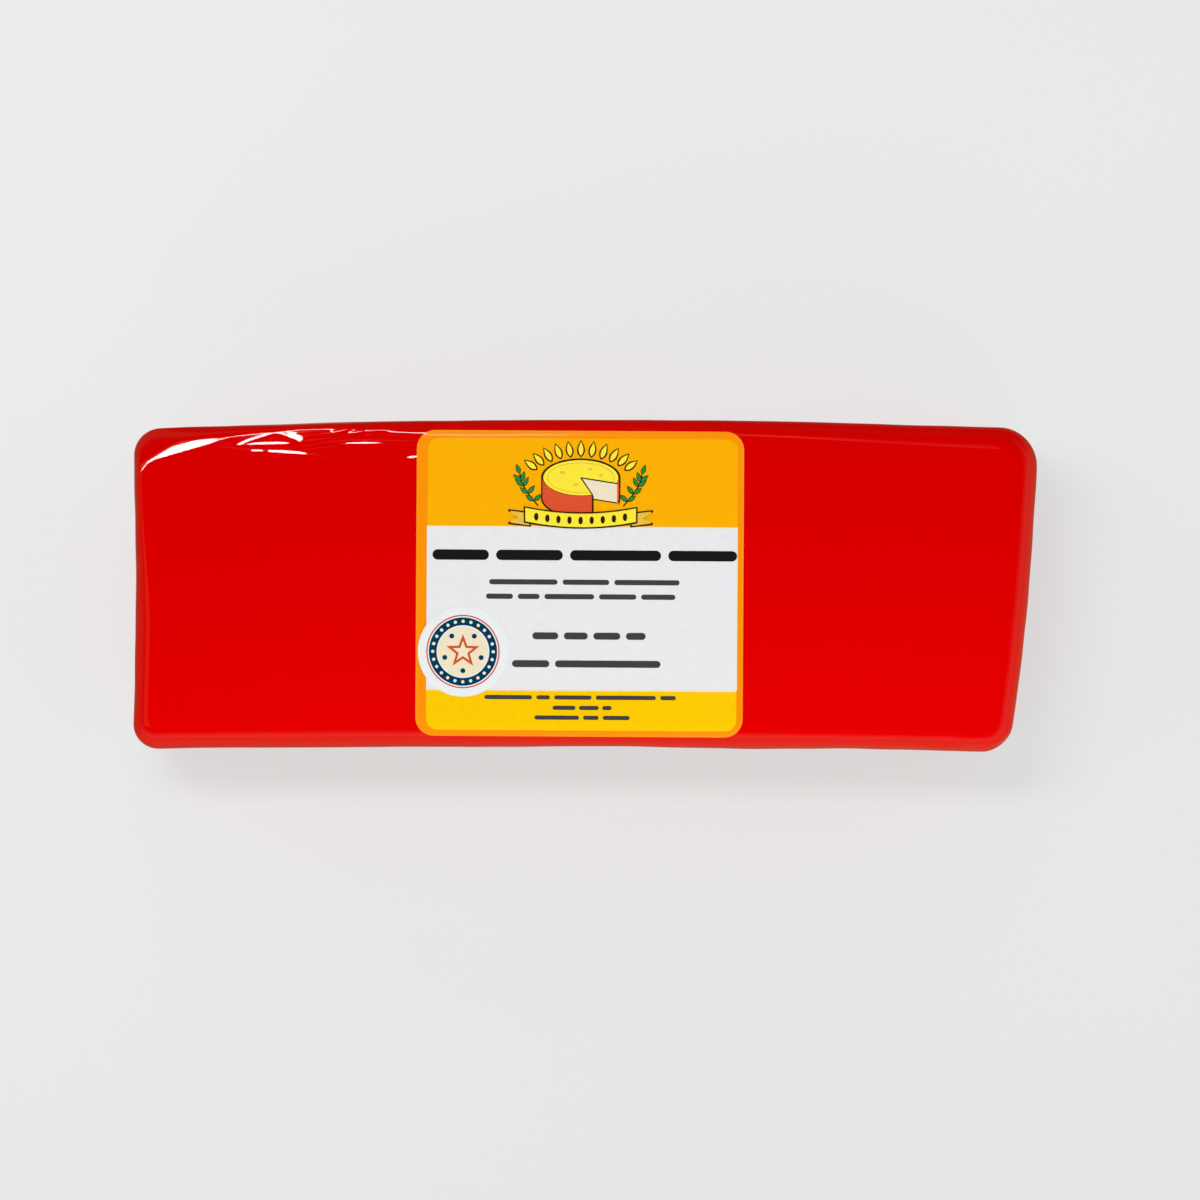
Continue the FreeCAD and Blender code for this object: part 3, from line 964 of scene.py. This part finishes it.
class CHEDDAR_OT_emblem(Maker, bpy.types.Operator):
    """Makes the label's emblem: a cut cheese, sun rays, leaves and a plain ribbon"""

    bl_idname = "cheddar.emblem"
    bl_label = "Emblem"

    def execute(self, context):
        """Flat shapes in layers, each layer a little higher than the one it lies on."""
        self.on, label, colours = settings(context)
        self.base = (label.thickness + label.ink) / MM
        self.sheaf = Sheaf()
        self.middle = (0.1, 19.6)
        self.rays()
        self.sprigs()
        self.cheese()
        self.ribbon()
        names = ("outline", "lemon", "straw", "wax", "leaf", "cream")
        inks = [ink(name + "_ink", getattr(colours, name)) for name in names]
        attach(self.sheaf.make("label_emblem", inks), "label_paper")
        return {"FINISHED"}

    def patch(self, edges, layer, material, steps=4, closed=False):
        """Lays one shape of the emblem on its layer."""
        rise = LAYER * layer
        self.on.lay(self.sheaf, *edges, steps, self.base + rise, SHALLOW + rise, material, closed)

    def disc(self, line, layer, material, steps=5):
        """Fills a closed outline from its own middle."""
        self.patch(fan(line.mean(0), line), layer, material, steps, True)

    def rays(self):
        """Slim lozenges fanned on an ellipse above the cheese, dark below and lemon on top."""
        p, q = self.middle
        for turn in np.linspace(36, 144, 11):
            way = np.array([np.cos(np.radians(turn)), np.sin(np.radians(turn))])
            root = np.array([p, q - 1.2]) + way * (10.6, 6.3)
            tip = np.array([p, q - 1.2]) + way * (13.4, 9.2)
            out = (tip - root) / np.hypot(*(tip - root))
            self.patch(leaf(root - 0.25 * out, tip + 0.25 * out, 1.55), 1, 0)
            self.patch(leaf(root + 0.1 * out, tip - 0.1 * out, 0.95), 2, 1)

    def sprigs(self):
        """A curved stem on each side with leaves in pairs."""
        p, q = self.middle
        for side in (-1, 1):
            k = np.linspace(0, 1, 14)
            stem = np.stack([p + side * (8.2 + 3.6 * np.sin(1.5 * k)), q - 4.6 + 6.2 * k], -1)
            self.patch(stroke(stem, 0.28), 1, 0, 2)
            for place, splay in ((0.18, 0.9), (0.4, 0.8), (0.62, 0.7), (0.84, 0.6), (1.0, 0.0)):
                root = stem[int(place * 13)]
                for hand in (-1, 1) if splay else (0,):
                    turn = np.pi / 2 - side * 0.35 * place + hand * splay
                    tip = root + 2.1 * np.array([np.cos(turn), np.sin(turn)])
                    self.patch(leaf(root, tip, 0.95), 2, 0)
                    self.patch(leaf(mix(root, tip, 0.08), mix(root, tip, 0.9), 0.66), 3, 4)

    def cheese(self):
        """A round cheese seen from above its edge, with a wedge cut out towards the front."""
        p, q = self.middle
        q = q + 0.9
        wide, deep, tall = 7.4, 3.5, 3.9
        cut = (-72.0, -18.0)
        down = np.array([0.0, -tall])
        for first, last, count in ((180.0, 360 + cut[0], 40), (360 + cut[1], 360.0, 12)):
            edge = ring(p, q, wide + 0.28, deep + 0.22, 40, first - 1, last + 1, loop=False)
            self.patch((edge + down - (0, 0.12), edge), 3, 0, 4)
            rind = ring(p, q, wide, deep, count, first, last, loop=False)
            self.patch((rind + down, rind), 4, 3, 4)
        for more_p, more_q, layer, material in ((0.28, 0.25, 3, 0), (-0.15, -0.1, 5, 1)):
            top = ring(p, q, wide + more_p, deep + more_q, 90, cut[1], 360 + cut[0], loop=False)
            self.patch(fan((p, q), top), layer, material, 5)
        band = ring(p, q, wide - 1.0, deep - 0.6, 90, cut[1] + 4, 356 + cut[0], loop=False)
        self.patch(stroke(band, 0.16), 6, 2, 2)
        tips = [ring(p, q, wide, deep, 2, a, a + 1, loop=False)[0] for a in cut]
        k = np.linspace(0, 1, 12)[:, None]
        near_cut, far_cut = (mix(np.array([p, q]), tip, k) for tip in tips)
        self.patch((far_cut + down * 0.96, far_cut), 2.5, 5, 4)
        self.patch(stroke(far_cut + down * 0.96, 0.22), 2.7, 0, 2)
        for line in (near_cut, far_cut, tips[0] + down * k):
            self.patch(stroke(line, 0.22), 7, 0, 2)
        for hole_p, hole_q, size in ((-3.6, 1.0, 0.55), (1.8, 1.7, 0.45), (-0.9, -1.3, 0.5), (3.9, 0.5, 0.4)):
            self.disc(ring(p + hole_p, q + hole_q, size, size * 0.5, 20), 6, 2, 2)

    def ribbon(self):
        """A plain ribbon in a shallow smile with a forked tail at each end."""
        p, q = self.middle
        k = np.linspace(-1, 1, 60)
        for layer, inset, material in ((8, 0.0, 0), (9, 0.3, 1)):
            line = q - 7.5 + 1.1 * k**2
            reach = 11.0 - inset
            high = np.stack([p + reach * k, line + 1.75 - inset], -1)
            low = np.stack([p + reach * k, line - 1.45 + inset], -1)
            self.patch((low, high), layer, material, 4)
            for side in (-1, 1):
                j = np.linspace(0, 1, 14)
                out = p + side * (9.6 + inset + (4.4 - 2.4 * inset) * j)
                fork = 1.1 * np.clip(j - 0.62, 0, None) / 0.38
                rise = q - 7.1 + 0.5 * j
                one = np.stack([out, rise + 1.35 - inset], -1)
                mid_high = np.stack([out, rise - 0.1 + fork * (1 - inset)], -1)
                mid_low = np.stack([out, rise - 0.1 - fork * (1 - inset)], -1)
                two = np.stack([out, rise - 1.55 + inset], -1)
                for edges in ((mid_high, one), (two, mid_low)):
                    self.patch(edges, layer - 3, 2 * material, 3)
        for place in np.linspace(-0.78, 0.78, 9):
            middle_q = q - 7.35 + 1.1 * place**2
            self.disc(ring(p + 11 * place, middle_q, 0.42, 0.75, 20), 10, 0, 2)


class CHEDDAR_OT_seal(Maker, bpy.types.Operator):
    """Makes the round paper seal and its print"""

    bl_idname = "cheddar.seal"
    bl_label = "Round Seal"

    def execute(self, context):
        """A disc of paper with a ring, a cream middle, a star and a circle of dots."""
        on, label, colours = settings(context)
        seal = context.scene.cheddar_seal_sizes
        p = (seal.middle_x - label.middle_x) / MM
        q = (seal.middle_y - label.middle_y) / MM - on.turn * 22.5
        high = (label.thickness + label.ink + seal.thickness) / MM
        radius = seal.radius / MM

        def polar(sheaf, inner, outer, steps, lift, sink, material, offset=(0.0, 0.0), count=96):
            rings = [ring(p + offset[0], q + offset[1], r, None, count) for r in (inner, outer)]
            on.lay(sheaf, rings[0], rings[1], steps, lift, sink, material, True)

        disc = Sheaf()
        polar(disc, 0.0, radius, 12, high, seal.thickness / MM + 0.02, 0)
        piece = disc.make("seal_disc", [paper("seal_stock", colours.seal)], smooth=True)
        attach(piece, "seal_paper", "round_seal")
        marks = Sheaf()
        step = label.ink / MM
        polar(marks, 5.1, 6.6, 3, high + step, SINK, 0)
        polar(marks, 6.85, 7.1, 2, high + step, SINK, 1)
        polar(marks, 0.0, 4.85, 6, high + step, SINK, 2)
        for outer, inner, level, material in ((3.4, 1.4, 2, 1), (2.1, 0.86, 3, 2)):
            outline = star(p, q, outer, inner, seal.star_points)
            on.lay(marks, *fan((p, q), outline), 5, high + level * step, SINK, material, True)
        lift = high + 2 * step
        for dots, reach, first, size, ink_, count in ((24, 5.85, 0, 0.32, 2, 18), (5, 3.7, 54, 0.48, 0, 24)):
            for spot in ring(0.0, 0.0, reach, None, dots, first, first + 360):
                polar(marks, 0.0, size, 2, lift, SINK, ink_, spot, count)
        inks = [ink(name + "_ink", getattr(colours, name)) for name in ("navy", "rust")]
        piece = marks.make("seal_print", [*inks, ink("seal_cream", colours.cream)])
        attach(piece, "seal_paper")
        return {"FINISHED"}


class CHEDDAR_OT_studio(Maker, bpy.types.Operator):
    """Makes the floor, the air, the lamps and the camera"""

    bl_idname = "cheddar.studio"
    bl_label = "Studio"

    def execute(self, context):
        """A round floor, one softbox to the far left overhead, one low fill and a camera looking down."""
        scene = context.scene
        size, colours = scene.cheddar_studio_sizes, scene.cheddar_colours
        radius = np.array([0.0, 0.2, 0.5, 1.0]) * size.floor_radius / MM
        angle = np.linspace(0, 2 * np.pi, 64, endpoint=False)
        x, y = np.cos(angle) * radius[:, None], np.sin(angle) * radius[:, None]
        points, faces = closed_round_grid(np.stack([x, y, 0 * x - 0.02], -1))
        floor = link_mesh("studio_floor", points, faces, [floor_material(colours)])
        scene.world = studio_world(colours, size.ambient)
        level = Matrix.Identity(4)
        self.lamp(context, "softbox", size.box_place, level, size.box_size, size.box_watts)
        turn = (-Vector(size.fill_place)).to_track_quat("-Z", "Y").to_matrix().to_4x4()
        fill = self.lamp(context, "fill", size.fill_place, turn, size.fill_size, size.fill_watts)
        fill.visible_glossy = False
        fill.light_linking.receiver_collection = bpy.data.collections.new(FILL_LIT)
        lens = bpy.data.cameras.new("camera")
        lens.lens, lens.sensor_width = size.lens, SENSOR
        lens.clip_start, lens.clip_end = 0.01, 30.0
        camera = bpy.data.objects.new("camera", lens)
        camera.location = size.camera_place
        scene.collection.objects.link(camera)
        scene.camera = camera
        scene.view_settings.view_transform = "Standard"
        return {"FINISHED"}

    @staticmethod
    def lamp(context, name, place, turn, size, watts):
        """A rectangular lamp that lights the object and is not seen by the camera."""
        light = bpy.data.lights.new(name, "AREA")
        light.shape, light.size, light.size_y = "RECTANGLE", *size
        light.energy = watts
        made = bpy.data.objects.new(name, light)
        made.matrix_world = Matrix.Translation(place) @ turn
        made.visible_camera = False
        context.scene.collection.objects.link(made)
        return made


class CHEDDAR_PT_panel(bpy.types.Panel):
    """Lists the pieces and their settings"""

    bl_idname = "CHEDDAR_PT_panel"
    bl_label = "Cheddar Block"
    bl_space_type = "VIEW_3D"
    bl_region_type = "UI"
    bl_category = "Cheddar"

    def draw(self, context):
        """A button for each operator and every setting below."""
        for operator in OPERATORS:
            self.layout.operator(operator.bl_idname)
        for name, group in GROUPS.items():
            box = self.layout.box()
            for setting in group.__annotations__:
                box.prop(getattr(context.scene, name), setting)


OPERATORS = (
    CHEDDAR_OT_studio,
    CHEDDAR_OT_block,
    CHEDDAR_OT_label,
    CHEDDAR_OT_lines,
    CHEDDAR_OT_emblem,
    CHEDDAR_OT_seal,
)
GROUPS = {
    "cheddar_block_sizes": BlockSizes,
    "cheddar_label_sizes": LabelSizes,
    "cheddar_seal_sizes": SealSizes,
    "cheddar_colours": Colours,
    "cheddar_studio_sizes": StudioSizes,
}


def register():
    """Registers the settings, operators and panel."""
    for name, group in GROUPS.items():
        bpy.utils.register_class(group)
        setattr(bpy.types.Scene, name, PointerProperty(type=group))
    for operator in (*OPERATORS, CHEDDAR_PT_panel):
        bpy.utils.register_class(operator)


def unregister():
    """Takes the panel, operators and settings away again."""
    for operator in (CHEDDAR_PT_panel, *reversed(OPERATORS)):
        bpy.utils.unregister_class(operator)
    for name, group in reversed(GROUPS.items()):
        delattr(bpy.types.Scene, name)
        bpy.utils.unregister_class(group)


def main():
    """Makes every piece in order."""
    register()
    bpy.ops.cheddar.studio()
    bpy.ops.cheddar.block()
    bpy.ops.cheddar.label()
    bpy.ops.cheddar.lines()
    bpy.ops.cheddar.emblem()
    bpy.ops.cheddar.seal()


if __name__ == "__main__":
    main()
